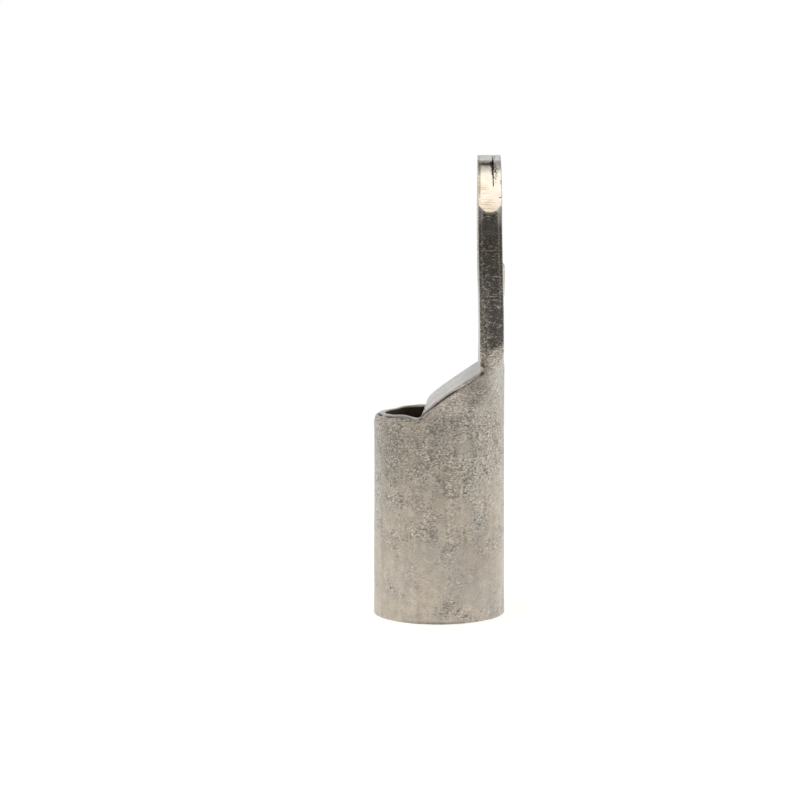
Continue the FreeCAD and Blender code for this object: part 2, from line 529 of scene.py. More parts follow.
@dataclass(frozen=True)
class EndEdge(Mark):
    """Thin line along an edge of the sheared end, where the cut rolled the skin over.

    Its place is a share of the way from the palm's front to its back.
    """

    place: float
    height: float
    from_turn: float
    to_turn: float
    width: float = 0.1
    fade_in: Span = (-4.0, 4.0)
    fade_out: Span = (5.0, -5.0)
    skin: Span = (-0.5, -0.2)

    def depth(self, points: np.ndarray, sizes: LugSizes) -> np.ndarray:
        """Works out how deep the line is.

        Args:
            points: Points on the surface, one a row.
            sizes: The lug's sizes.

        Returns:
            The height at each point, under 0 in the line.
        """
        turn, reach = place_on_end(points, sizes)
        centre = sizes.palm_front + self.place * (sizes.palm_back - sizes.palm_front)
        zone = share_past(turn, self.fade_in, self.from_turn)
        zone *= share_past(turn, self.fade_out, self.to_turn)
        line = ridge(points[:, 0] - centre, self.width)
        return self.height * line * zone * share_past(reach, self.skin, sizes.end_r)


@dataclass(frozen=True)
class ShearStep(Mark):
    """Small step across the sheared end, where the clean cut turns into the break."""

    turn: float = 25.9
    width: float = 2.7
    height: float = -0.34
    wander: Swell = Swell(grain=1.1, height=0.7, seed=8.0)
    skin: Span = (-0.4, -0.1)
    share_at_back: float = 0.25
    before_seam: Span = (0.3, -0.1)
    behind_front: Span = (0.1, 0.5)

    def depth(self, points: np.ndarray, sizes: LugSizes) -> np.ndarray:
        """Works out how deep the step is.

        Args:
            points: Points on the surface, one a row.
            sizes: The lug's sizes.

        Returns:
            The height at each point, under 0 at the step.
        """
        turn, reach = place_on_end(points, sizes)
        turn = turn + self.wander.depth(points, sizes)
        front = share_past(points[:, 0], self.before_seam, sizes.seam_x)
        front = self.share_at_back + (1 - self.share_at_back) * front
        front *= share_past(points[:, 0], self.behind_front, sizes.palm_front)
        line = ridge(turn - self.turn, self.width)
        return self.height * line * share_past(reach, self.skin, sizes.end_r) * front


@dataclass(frozen=True)
class PunchBurr(Mark):
    """Burr that the punch pushed out around the lower half of the stud hole, on the back."""

    width: float = 0.34
    height: float = 0.55
    beside_hole: float = 0.12
    skin: Span = (-0.35, -0.05)
    below_axis: Span = (0.4, 2.0)
    strength: float = 0.85
    uneven: Swell = Swell(grain=1.6, height=0.5, seed=21.0)

    def depth(self, points: np.ndarray, sizes: LugSizes) -> np.ndarray:
        """Works out how far the burr stands out.

        Args:
            points: Points on the surface, one a row.
            sizes: The lug's sizes.

        Returns:
            The height at each point over the palm's back, along X.
        """
        x, y, z = points.T
        down = sizes.hole_z - z
        ring = ridge(np.hypot(y, down) - sizes.hole_r - self.beside_hole, self.width)
        back = share_past(x, self.skin, sizes.palm_back)
        uneven = self.strength + self.uneven.depth(points, sizes)
        return self.height * ring * back * share_past(down, self.below_axis) * uneven


@dataclass(frozen=True)
class Pressing:
    """What the pressing left of the palm's true form.

    The palm leans to the front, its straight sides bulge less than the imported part's, and its two
    walls meet off the middle, where the open seam is closed by a share of its width.
    """

    lean_at_top: float = -0.28
    lean_from_root: float = 4.0
    flat_bulge: float = 0.1
    flat_from_root: Span = (1.0, 5.0)
    flat_under_shoulder: Span = (-0.4, -2.6)
    flat_edge: Span = (-3.5, -1.2)
    seam_pinch: float = 0.93
    pinch_width: float = 0.25
    seam_shift: float = 0.54
    shift_width: float = 0.9
    seam_fade: float = 0.5

    def lean(self, points: np.ndarray, sizes: LugSizes) -> np.ndarray:
        """Gives how far each point leans along X, under 0 to the front."""
        upright = (sizes.root + self.lean_from_root, sizes.shoulder)
        return self.lean_at_top * share_past(points[:, 2], upright)

    def seam_move(self, points: np.ndarray, sizes: LugSizes) -> np.ndarray:
        """Works out how the seam is shifted and closed.

        Args:
            points: Points on the surface, one a row.
            sizes: The lug's sizes.

        Returns:
            The shift of each point along X.
        """
        from_seam = points[:, 0] - sizes.seam_x
        at_end = share_past(points[:, 2], (0.0, self.seam_fade), sizes.shoulder)
        pinch = self.seam_pinch * ridge(from_seam, self.pinch_width) * at_end
        return self.seam_shift * ridge(from_seam, self.shift_width) * at_end - from_seam * pinch

    def flatter(self, points: np.ndarray, sizes: LugSizes) -> np.ndarray:
        """Works out how the bulge of the palm's straight edges is taken back.

        Args:
            points: Points on the surface, one a row.
            sizes: The lug's sizes.

        Returns:
            How far each point moves out from the middle, along Y.
        """
        share = (points[:, 0] - sizes.palm_front) / (sizes.palm_back - sizes.palm_front)
        share = np.clip(share, 0.0, 1.0)
        outwards = (sizes.bulge - self.flat_bulge) * (1 - 4 * share * (1 - share))
        outwards *= share_past(points[:, 2], self.flat_from_root, sizes.root)
        outwards *= share_past(points[:, 2], self.flat_under_shoulder, sizes.shoulder)
        return outwards * share_past(np.abs(points[:, 1]), self.flat_edge, sizes.half_palm)


@dataclass
class Lug:
    """The whole lug: one length of tube, sawn, pressed, sheared, punched and tinned.

    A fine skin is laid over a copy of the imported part, trued up and then worked with the marks
    that the tools left. The skin has soft edges, as tin leaves them.
    """

    sizes: LugSizes
    node: bpy.types.Object
    name: str = "lug_worked"
    merge_within: float = 0.0001
    skin_step: float = 0.12
    quick_skin_step: float = 0.2
    softening_passes: int = 3
    softening_factor: float = 0.5
    most_triangles: int = 180000
    # how far from its true place the laid skin may lie
    near: float = 0.06
    # the barrel's wall is trued up to this far under the rim
    trued_below_sill: float = 2.5
    # the palm's side is trued up to this share of its thickness from its middle, and
    # the correction fades out before the edge's small rounding
    trued_side: float = 0.42
    side_fade: Span = (0.4, 0.28)
    # the skin stays this far inside the part's box
    inset: float = 0.002
    # a groove this deep is fully darkened with painted shade and dirt
    depth_of_full_shade_and_dirt: float = 0.3
    pressing: Pressing = Pressing()
    burr: PunchBurr = PunchBurr()
    rim: RimWear = RimWear()
    lip: LipShade = LipShade()
    swells: Tuple[Mark, ...] = (
        Swell(grain=9.0, height=0.05, seed=1.0),
        Swell(grain=2.4, height=0.022, seed=2.0),
        # the ramp swells a little in its middle and at its far side
        Dimple(centre=(-0.8, 0.0, 36.2), radius=6.0, height=0.28),
        Dimple(centre=(-1.9, 7.5, 34.3), radius=4.6, height=0.42),
        Dimple(centre=(3.2, 9.0, 38.4), radius=4.4, height=0.2),
        # a small knob over the nick at the foot of the palm's near side
        Dimple(centre=(6.5, -14.9, 40.3), radius=0.35, height=0.2),
    )
    # the depth of every groove also darkens the colour there, as painted shade and dirt
    grooves: Tuple[Mark, ...] = (
        RimGroove(),
        FoldGroove(),
        SeamTear(),
        ShearStep(),
        lip,
        EndEdge(place=0.065, height=-0.14, from_turn=1.0, to_turn=56.0),
        # deeper where the clean cut turns into the break
        EndEdge(place=0.065, height=-0.12, from_turn=24.0, to_turn=36.0),
        EndEdge(place=0.94, height=-0.1, from_turn=1.0, to_turn=32.0),
        # a nick at the foot of each side of the palm
        Dimple(centre=(6.7, -14.9, 39.3), radius=0.34, height=-0.35),
        Dimple(centre=(6.7, 14.9, 39.2), radius=0.3, height=-0.25),
        # two small pits low on the sheared end, at its back
        Dimple(centre=(9.98, -13.9, 66.2), radius=0.13, height=-0.1),
        Dimple(centre=(9.75, -13.9, 66.17), radius=0.13, height=-0.08),
    )

    def build(self) -> bpy.types.Object:
        """Makes the piece.

        Returns:
            The finished object, at the origin and with its place in its mesh.
        """
        piece = bpy.data.objects.new(self.name, self.merged_copy())
        bpy.context.scene.collection.objects.link(piece)
        self.lay_skin(piece)
        self.true_up(piece.data)
        self.work(piece.data)
        self.thin_out(piece)
        piece.data.shade_smooth()
        return piece

    def dress(self, piece: bpy.types.Object) -> None:
        """Gives the piece its one material, which finds the seam where the pressing moved it."""
        seam_x = self.sizes.seam_x + self.pressing.lean_at_top + self.pressing.seam_shift
        piece.data.materials.append(TinnedCopper(self.sizes, seam_x).build())

    def merged_copy(self) -> bpy.types.Mesh:
        """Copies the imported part's loose triangles and merges them into closed walls.

        Returns:
            The copy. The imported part's own mesh stays as it is.
        """
        mesh = self.node.data.copy()
        mesh.name = self.name
        mesh.materials.clear()
        shape = bmesh.new()
        shape.from_mesh(mesh)
        bmesh.ops.remove_doubles(shape, verts=shape.verts, dist=self.merge_within * MM)
        shape.to_mesh(mesh)
        shape.free()
        return mesh

    def lay_skin(self, piece: bpy.types.Object) -> None:
        """Lays an even fine skin over the piece and softens its edges a little.

        Args:
            piece: The piece with its merged walls.
        """
        skin = piece.modifiers.new("skin", "REMESH")
        skin.mode = "VOXEL"
        skin.voxel_size = self.skin_step * MM
        soft = piece.modifiers.new("soft edges", "SMOOTH")
        soft.iterations = self.softening_passes
        soft.factor = self.softening_factor
        self.apply_modifiers(piece)

    def thin_out(self, piece: bpy.types.Object) -> None:
        """Drops the faces that flat stretches don't need.

        Args:
            piece: The worked piece.
        """
        triangles = sum(len(face.vertices) - 2 for face in piece.data.polygons)
        thin = piece.modifiers.new("fewer faces", "DECIMATE")
        thin.ratio = min(1.0, self.most_triangles / triangles)
        thin.use_collapse_triangulate = True
        self.apply_modifiers(piece)

    @staticmethod
    def apply_modifiers(piece: bpy.types.Object) -> None:
        """Turns the piece's modifiers into its mesh.

        Args:
            piece: The piece whose modifiers are applied and then cleared.
        """
        graph = bpy.context.evaluated_depsgraph_get()
        made = bpy.data.meshes.new_from_object(piece.evaluated_get(graph))
        old = piece.data
        piece.modifiers.clear()
        piece.data = made
        bpy.data.meshes.remove(old)
        made.name = piece.name

    @staticmethod
    def read_vectors(mesh: bpy.types.Mesh, kind: str) -> np.ndarray:
        """Reads the places or the normals of a mesh's points.

        Args:
            mesh: The mesh.
            kind: What is read, "co" or "normal".

        Returns:
            The vectors in the mesh's own unit, one a row.
        """
        flat = np.empty(len(mesh.vertices) * 3, dtype=np.float32)
        mesh.vertices.foreach_get(kind, flat)
        return flat.reshape(-1, 3)

    def read_points(self, mesh: bpy.types.Mesh) -> np.ndarray:
        """Gives the mesh's points in millimetres, one a row."""
        return self.read_vectors(mesh, "co").astype(float) / MM

    @staticmethod
    def write_points(mesh: bpy.types.Mesh, points: np.ndarray) -> None:
        """Puts points in millimetres back into the mesh."""
        mesh.vertices.foreach_set("co", (points * MM).astype(np.float32).ravel())
        mesh.update()

    def true_up(self, mesh: bpy.types.Mesh) -> None:
        """Makes the round walls and the bulged edges truly round again after the skin is laid.

        Args:
            mesh: The laid skin.
        """
        sizes, near = self.sizes, self.near
        points = self.read_points(mesh)
        barrel = points[:, 2] < sizes.sill - self.trued_below_sill
        radius = np.hypot(points[:, 0], points[:, 1])
        for wall in (sizes.barrel_r, sizes.bore_r):
            on = barrel & (np.abs(radius - wall) < near)
            points[on, :2] *= (wall / radius[on])[:, None]
        up = points[:, 2] - sizes.end_axis_z
        reach = np.hypot(points[:, 1], up)
        on = (points[:, 2] > sizes.shoulder) & (np.abs(reach - sizes.end_r) < near)
        scale = sizes.end_r / reach[on]
        points[on, 1] *= scale
        points[on, 2] = sizes.end_axis_z + up[on] * scale
        share = (points[:, 0] - sizes.palm_front) / (sizes.palm_back - sizes.palm_front)
        side = sizes.half_palm - sizes.bulge + 4 * sizes.bulge * share * (1 - share)
        off_middle = np.abs(share - 0.5)
        on = (points[:, 2] > sizes.root + sizes.flattening) & (off_middle < self.trued_side)
        on &= (np.abs(np.abs(points[:, 1]) - side) < 2 * near) & (reach < sizes.end_r - near)
        firmly = share_past(off_middle, self.side_fade)
        outwards = np.sign(points[:, 1]) * side - points[:, 1]
        points[on, 1] += (outwards * firmly)[on]
        self.write_points(mesh, points)

    def work(self, mesh: bpy.types.Mesh) -> None:
        """Pushes the surface in and out with every mark, and keeps it in the part's box.

        How deep each point lies in a groove is kept with the mesh, because the material paints shade
        and dirt into the grooves by it.

        Args:
            mesh: The trued skin.
        """
        sizes = self.sizes
        points = self.read_points(mesh)
        normals = self.read_vectors(mesh, "normal")
        swell = sum(mark.depth(points, sizes) for mark in self.swells)
        groove = sum(mark.depth(points, sizes) for mark in self.grooves)
        grime = mesh.attributes.new(GROOVE_SHADE_AND_DIRT, "FLOAT", "POINT")
        grime.data.foreach_set("value", np.clip(-groove / self.depth_of_full_shade_and_dirt, 0, 1).astype(np.float32))
        backwards = self.pressing.lean(points, sizes) + self.burr.depth(points, sizes)
        backwards += self.pressing.seam_move(points, sizes) + self.lip.shift(points, sizes)
        outwards = self.pressing.flatter(points, sizes)
        upwards = self.rim.depth(points, sizes)
        points += normals * (swell + groove)[:, None]
        points[:, 0] += backwards
        points[:, 1] += np.sign(points[:, 1]) * outwards
        points[:, 2] += upwards
        low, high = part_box(NODE)
        points = np.clip(points, np.array(low) / MM + self.inset, np.array(high) / MM - self.inset)
        self.write_points(mesh, points)


class Zone(Enum):
    """The kinds of surface on the lug, by how each was made."""

    DULL = "tube skin under dull tin"
    PRESSED = "pressed ramp, and the burr around the stud hole"
    BURNISHED = "palm edge rubbed by the die"
    SCUFFED = "foot of the palm edge, scuffed by the fold"
    SHEARED = "sheared end"
    TORN = "torn end"
    SAWN = "sawn rim"
    BORE = "inside of the tube"
    SEAM = "open seam in the sheared end"


@dataclass(frozen=True)
class Finish:
    """Colour and gloss of one zone.

    The second colour shows in patches or streaks of the first. Grain, pits and the runs of the
    drawn tube are shares of the dull skin's own.
    """

    colour: str
    patches: str
    roughness: float
    grain: float
    pits: float
    runs: float


FINISHES = {
    # matte and mottled, warm grey with cooler patches, full grain
    Zone.DULL: Finish("#cec5b8", "#c8c1b7", roughness=0.6, grain=1.0, pits=1.0, runs=1.0),
    # smoothed by the punch: paler and cooler
    Zone.PRESSED: Finish("#e5ddd5", "#d8d0c8", roughness=0.44, grain=0.7, pits=0.6, runs=0.0),
    # rubbed nearly bright and a little darker than the dull skin, so it mirrors the dim side of the
    # room
    Zone.BURNISHED: Finish("#b9b1a8", "#ada295", roughness=0.22, grain=0.25, pits=0.6, runs=0.6),
    # the foot of the rubbed edge, where the fold left it rougher and browner
    Zone.SCUFFED: Finish("#b4ad9f", "#9d978a", roughness=0.4, grain=0.9, pits=1.3, runs=0.6),
    # cut bright, with a breath of copper in its streaks
    Zone.SHEARED: Finish("#f4ede2", "#d6bb90", roughness=0.27, grain=0.2, pits=0.0, runs=0.0),
    # broken rather than cut: grey-green and rough
    Zone.TORN: Finish("#c8c5bb", "#98958a", roughness=0.5, grain=0.9, pits=0.6, runs=0.0),
    # pale thin edge of the saw cut
    Zone.SAWN: Finish("#c8c2b9", "#b4ada2", roughness=0.38, grain=0.5, pits=0.2, runs=0.0),
    # darker than the outside: painted shade of the hollow tube, and burnt flux
    Zone.BORE: Finish("#766c5c", "#62594c", roughness=0.7, grain=0.8, pits=0.0, runs=0.0),
    # never reached by the tin and brown with old oil, and drawn darker as painted shade inside the open
    # crack
    Zone.SEAM: Finish("#5a4e44", "#463c33", roughness=0.8, grain=0.5, pits=0.0, runs=0.0),
}


@dataclass(frozen=True)
class Pattern:
    """One random pattern of the surface.

    The size is the real distance between neighbouring spots, in millimetres. It is drawn longer
    along an axis whose stretch is under 1, and the offset tells two patterns of one size apart.
    A spot starts at the first value of shows and is full at the second.
    """

    size: float
    layers: float = 2.0
    stretch: Tuple[float, float, float] = (1.0, 1.0, 1.0)
    offset: float = 0.0
    shows: Span = (0.0, 1.0)


@dataclass(frozen=True)
class ShadingPatch:
    """Broad soft patch, as seen from the side, of painted light where its level is over 1 and painted
    shade where it is under 1.
    """

    x: float
    z: float
    wide: float
    high: float
    level: float


@dataclass(frozen=True)
class Cover:
    """What lies over the skin in places: its colour, and how strongly it hides the skin's own."""

    colour: str
    share: float


class TinnedCopper:
    """Hot-tinned copper tube: drawn, sawn, pressed and sheared, then dipped in tin.

    The tin gives the eye a soft warm grey with fine pits and a dull sheen where it lies as
    dipped, and a brighter one where a tool has rubbed or cut it.
    """

    PATTERNS = {
        "patches": Pattern(6.5, layers=3.0, shows=(0.42, 0.6)),
        "clusters": Pattern(3.6, layers=3.0),
        "mottle": Pattern(1.3),
        "streaks": Pattern(1.3, layers=3.0, stretch=(1.0, 1.0, 0.06)),
        # the real grain is finer, and is drawn this coarse so that it shows in the render
        "grain": Pattern(0.28, layers=1.5, stretch=(0.8, 0.8, 1.2), shows=(0.53, 0.68)),
        "pits": Pattern(0.5, layers=2.0, stretch=(0.7, 0.7, 1.2), offset=17.0, shows=(0.58, 0.66)),
        "smudges": Pattern(1.9, layers=2.0, offset=63.0, shows=(0.56, 0.7)),
        "shear_lines": Pattern(0.22, layers=2.0, stretch=(0.1, 1.0, 1.0), shows=(0.52, 0.62)),
        "wander": Pattern(1.2),
    }
    PAINTED_LIGHT_AND_SHADE = (
        # painted light and shade on the barrel
        ShadingPatch(x=-6.8, z=27.5, wide=5.0, high=7.0, level=0.8),
        ShadingPatch(x=-3.2, z=7.5, wide=7.0, high=8.0, level=1.08),
        ShadingPatch(x=6.2, z=11.0, wide=5.0, high=10.0, level=0.82),
        # painted shade on the neck, the tip of the palm, the barrel's foot, and the rim beside the lip;
        # at the foot it is a painted contact shadow
        ShadingPatch(x=6.2, z=37.0, wide=3.8, high=6.0, level=0.6),
        ShadingPatch(x=8.2, z=73.9, wide=9.0, high=1.7, level=0.7),
        ShadingPatch(x=-0.5, z=0.0, wide=8.0, high=0.6, level=0.45),
        ShadingPatch(x=-4.4, z=32.4, wide=3.4, high=0.9, level=0.72),
    )
    SMUDGE = Cover("#575046", 0.35)
    PIT = Cover("#575046", 0.5)
    GLINT = Cover("#eeeeec", 0.34)
    # painted shade and dirt in the grooves, as strong as they are deep
    SHADE_AND_DIRT = Cover("#2f2b23", 0.85)

    # the skin's brightness: clouds are a factor, specks and runs are added to 1 to make one
    SPECKS = Fade(0.28, 0.72, -0.52, 0.36)
    CLOUDS = Fade(0.3, 0.7, 0.9, 1.07)
    RUNS = Fade(0.3, 0.7, -0.07, 0.06)
    # painted light and shade: the skin is drawn lighter low down and darker up towards the neck and the
    # front of the rim
    SLANT_SHADING = Fade(2.0, 50.0, 1.1, 0.76)
    SHADING_SLANT = -0.7
    # specks lie thicker towards the rim, which also makes the skin a little darker there
    RIMWARD = Fade(6.0, 26.0, -0.12, 0.08)
    CROWD = Fade(0.38, 0.62, 0.22, 1.0)

    # the streaks in the bright cut show at the end's lower front, under a slanting line
    CUT_SLANT = 0.4
    CUT_STREAKS = (35.4, 33.8)
    # the break starts and ends at these turns from the tip, in degrees, with an uneven border
    TORN_FROM = 38.5
    TORN_TO = 21.5
    UNEVEN = 0.8
    # the rubbed side of the palm starts this much higher at its back than at its front
    FOOT_RISE = 3.2
    # and that slant keeps this far inside the palm's thickness
    FOOT_INSET = 0.4
    SEAM_HALF_WIDTH = 0.5

    GRAIN_ROUGHNESS = 0.12
    DIRT_ROUGHNESS = 0.3
    BUMP = 0.05
    BUMP_SHARES = {"mottle": 0.5, "streaks": 0.3}
    PIT_BUMP = -0.8
    EDGE_TINT = "#e8f0f6"
    # thin film of dried flux, which makes the metal pale and cool at its outline
    FILM = 0.4
    FILM_ROUGHNESS = 0.35

    def __init__(self, sizes: LugSizes, seam_x: float) -> None:
        """Starts the material and places its patterns on the lug.

        Args:
            sizes: The lug's sizes.
            seam_x: Where the open seam lies after the pressing.
        """
        self.sizes = sizes
        self.seam_x = seam_x
        self.material = bpy.data.materials.new("tinned_copper_drawn_and_pressed")
        self.material.use_nodes = True
        self.material.node_tree.nodes.clear()
        self.add = partial(add_node, self.material.node_tree)
        where = self.add("ShaderNodeTexCoord").node.outputs["Object"]
        normal = self.add("ShaderNodeTexCoord").node.outputs["Normal"]
        _, across, self.upward = self.add("ShaderNodeSeparateXYZ", {0: normal}).node.outputs
        self.sideways = self.add("ShaderNodeMath", {0: across}, operation="ABSOLUTE")
        self.place = self.add("ShaderNodeMapping", {0: where, "Scale": (1 / MM,) * 3})
        self.x, self.y, self.z = self.add("ShaderNodeSeparateXYZ", {0: self.place}).node.outputs
        self.fields: Dict[str, Socket] = {}
        for name, pattern in self.PATTERNS.items():
            drawn = self.add(
                "ShaderNodeMapping",
                {0: self.place, "Location": (pattern.offset,) * 3, "Scale": pattern.stretch},
            )
            self.fields[name] = self.add(
                "ShaderNodeTexNoise",
                {"Vector": drawn, "Scale": 1 / pattern.size, "Detail": pattern.layers},
            )

    def mask(self, *bounds: Bound) -> Socket:
        """Mask that is 1 where every value is past its bound.

        Args:
            bounds: For each bound the value, the line that it is measured from, and the span
                from where its share is 0 to where it is 1.

        Returns:
            The product of the bounds' shares.
        """
        whole: Optional[Socket] = None
        for value, line, span in bounds:
            inputs = Fade(line + span[0], line + span[1]).inputs(value)
            share = self.add("ShaderNodeMapRange", inputs, interpolation_type="SMOOTHSTEP")
            if whole is None:
                whole = share
            else:
                whole = self.add("ShaderNodeMath", {0: whole, 1: share}, operation="MULTIPLY")
        return whole

    def spots(self, name: str) -> Socket:
        """Mask of one pattern's spots."""
        return self.mask((self.fields[name], 0.0, self.PATTERNS[name].shows))

    def zones(self) -> List[Tuple[Zone, Socket]]:
        """Places the zones over the dull skin.

        Returns:
            Each zone with its mask, in the order in which they are laid over each other.
        """
        add, sizes = self.add, self.sizes
        from_axis = add("ShaderNodeMapping", {0: self.place, "Scale": (1, 1, 0)})
        radius = add("ShaderNodeVectorMath", {0: from_axis}, operation="LENGTH").node.outputs["Value"]
        centre = (0, 0, -sizes.end_axis_z)
        from_end = add("ShaderNodeMapping", {0: self.place, "Location": centre, "Scale": (0, 1, 1)})
        reach = add("ShaderNodeVectorMath", {0: from_end}, operation="LENGTH").node.outputs["Value"]
        beside = add("ShaderNodeMath", {0: self.y}, operation="ABSOLUTE")
        on_ramp = add("ShaderNodeMath", {0: self.x, 1: sizes.lip_x}, operation="MAXIMUM")
        slope = {0: on_ramp, 1: -sizes.ramp_slope, 2: self.z}
        above = add("ShaderNodeMath", slope, operation="MULTIPLY_ADD")
        ramp_line = sizes.sill - sizes.lip_x * sizes.ramp_slope
        wander = {0: self.fields["wander"], 1: self.UNEVEN, 2: self.z}
        uneven = add("ShaderNodeMath", wander, operation="MULTIPLY_ADD")
        thickness = Fade(sizes.palm_front + self.FOOT_INSET, sizes.palm_back - self.FOOT_INSET)
        foot = add(
            "ShaderNodeMapRange", thickness.inputs(self.x), interpolation_type="SMOOTHSTEP"
        )
        lowered = {0: foot, 1: -self.FOOT_RISE, 2: uneven}
        rise = add("ShaderNodeMath", lowered, operation="MULTIPLY_ADD")
        torn_low, torn_top = (
            sizes.end_axis_z + sizes.end_r * math.cos(math.radians(turn))
            for turn in (self.TORN_FROM, self.TORN_TO)
        )
        seam = {0: self.x, 1: self.seam_x, 2: self.SEAM_HALF_WIDTH}
        at_seam = add("ShaderNodeMath", seam, operation="COMPARE")
        on_edge = (
            (self.sideways, 0.0, (0.15, 0.35)),
            (beside, sizes.barrel_r, (0.9, 1.4)),
            (rise, sizes.root, (0.6, 1.1)),
        )
        on_end = (reach, sizes.end_r, (-0.2, -0.08))
        return [
            (Zone.PRESSED, self.mask(
                (above, ramp_line, (-0.5, -0.15)),
                (self.x, sizes.palm_front, (0.5, 0.15)),
                (self.x, sizes.lip_x, (-0.5, 0.0)),
            )),
            (Zone.BURNISHED, self.mask(*on_edge)),
            (Zone.SCUFFED, self.mask(
                *on_edge,
                (self.x, sizes.seam_x, (0.1, -0.9)),
                (self.z, sizes.root, (18.0, 4.0)),
                (self.z, sizes.root, (1.4, 3.4)),
            )),
            (Zone.SHEARED, self.mask(on_end, (self.z, sizes.shoulder, (-0.6, -0.2)))),
            # the burr around the lower half of the stud hole
            (Zone.PRESSED, self.mask(
                (self.x, sizes.palm_back, (-0.12, -0.02)),
                (beside, sizes.hole_r, (1.6, 0.9)),
                (self.z, sizes.hole_z - sizes.hole_r, (-1.5, -1.0)),
            )),
            (Zone.TORN, self.mask(
                on_end,
                (uneven, torn_low, (0.4, 1.8)),
                (uneven, torn_top, (0.55, 0.3)),
            )),
            (Zone.BORE, self.mask(
                (radius, sizes.bore_r, (0.5, 0.2)),
                (above, ramp_line, (0.4, -0.1)),
                (self.upward, 0.0, (0.5, 0.3)),
            )),
            (Zone.SAWN, self.mask(
                (self.z, sizes.sill, (-0.8, -0.5)),
                (self.upward, 0.0, (0.3, 0.6)),
                (self.x, sizes.lip_x, (0.2, -0.1)),
            )),
            (Zone.SEAM, self.mask(
                (at_seam, 0.0, (0.4, 0.6)),
                (reach, sizes.end_r, (-1.2, -1.0)),
                (reach, sizes.end_r, (-0.06, -0.18)),
                (self.z, torn_low, (-0.4, 0.8)),
            )),
        ]

    def lay_zones(self) -> Tuple[Socket, Dict[str, Value]]:
        """Lays the finish of every zone over the dull skin's.

        Returns:
            The colour, and by name the roughness and the shares of grain, pits and runs.
        """
        add = self.add
        patches = self.spots("patches")
        cut = {0: self.z, 1: self.CUT_SLANT, 2: self.x}
        lower_front = add("ShaderNodeMath", cut, operation="MULTIPLY_ADD")
        lines = (self.fields["shear_lines"], 0.0, self.PATTERNS["shear_lines"].shows)
        shear = self.mask(lines, (lower_front, 0.0, self.CUT_STREAKS))
        dull = FINISHES[Zone.DULL]
        both = {0: patches, 6: to_linear(dull.colour), 7: to_linear(dull.patches)}
        colour = add("ShaderNodeMix", both, data_type="RGBA")
        amounts: Dict[str, Value] = {
            "roughness": dull.roughness, "grain": dull.grain, "pits": dull.pits, "runs": dull.runs,
        }
        for zone, mask in self.zones():
            finish = FINISHES[zone]
            pattern = shear if zone in (Zone.SHEARED, Zone.TORN) else patches
            both = {0: pattern, 6: to_linear(finish.colour), 7: to_linear(finish.patches)}
            own = add("ShaderNodeMix", both, data_type="RGBA")
            colour = add("ShaderNodeMix", {0: mask, 6: colour, 7: own}, data_type="RGBA")
            for name, amount in amounts.items():
                amounts[name] = add("ShaderNodeMix", {0: mask, 2: amount, 3: getattr(finish, name)})
        return colour, amounts

    def tone(self, crowd: Socket, runs: Socket) -> Socket:
        """Works out how the skin's brightness goes up and down, with its painted light and shade.

        Args:
            crowd: How thick the specks lie.
            runs: How strongly the runs along the drawn tube show.

        Returns:
            A number around 1 that the colour is multiplied by.
        """
        add, fields = self.add, self.fields
        speck = add("ShaderNodeMapRange", self.SPECKS.inputs(fields["grain"]))
        speck = add("ShaderNodeMath", {0: speck, 1: crowd, 2: 1.0}, operation="MULTIPLY_ADD")
        cloud = add("ShaderNodeMapRange", self.CLOUDS.inputs(fields["mottle"]))
        run = add("ShaderNodeMapRange", self.RUNS.inputs(fields["streaks"]))
        run = add("ShaderNodeMath", {0: run, 1: runs, 2: 1.0}, operation="MULTIPLY_ADD")
        # painted light and shade along a slant, lighter low down
        slanted = {0: self.x, 1: self.SHADING_SLANT, 2: self.z}
        slant_place = add("ShaderNodeMath", slanted, operation="MULTIPLY_ADD")
        slant_shading = add("ShaderNodeMapRange", self.SLANT_SHADING.inputs(slant_place))
        whole = add("ShaderNodeMath", {0: cloud, 1: run}, operation="MULTIPLY")
        whole = add("ShaderNodeMath", {0: whole, 1: speck}, operation="MULTIPLY")
        # painted light and shade, one soft patch at a time
        for shading in self.PAINTED_LIGHT_AND_SHADE:
            across = (1 / shading.wide, 0, 1 / shading.high)
            centre = (-shading.x / shading.wide, 0, -shading.z / shading.high)
            within = add("ShaderNodeMapping", {0: self.place, "Location": centre, "Scale": across})
            away = add("ShaderNodeVectorMath", {0: within}, operation="LENGTH").node.outputs["Value"]
            inputs = Fade(0.0, 1.0, shading.level, 1.0).inputs(away)
            level = add("ShaderNodeMapRange", inputs, interpolation_type="SMOOTHSTEP")
            whole = add("ShaderNodeMath", {0: whole, 1: level}, operation="MULTIPLY")
        return add("ShaderNodeMath", {0: whole, 1: slant_shading}, operation="MULTIPLY")

    def build(self) -> bpy.types.Material:
        """Makes the material.

        Returns:
            The finished material.
        """
        add, fields = self.add, self.fields
        colour, amounts = self.lay_zones()
        rimward = add("ShaderNodeMapRange", self.RIMWARD.inputs(self.z))
        crowd = add("ShaderNodeMath", {0: fields["clusters"], 1: rimward}, operation="ADD")
        crowd = add("ShaderNodeMapRange", self.CROWD.inputs(crowd))
        crowd = add("ShaderNodeMath", {0: crowd, 1: amounts["pits"]}, operation="MULTIPLY")
        toned = {0: colour, "Scale": self.tone(crowd, amounts["runs"])}
        colour = add("ShaderNodeVectorMath", toned, operation="SCALE")
        smudges, pits, glints = (
            add("ShaderNodeMath", {0: self.spots(name), 1: crowd}, operation="MULTIPLY")
            for name in ("smudges", "pits", "grain")
        )
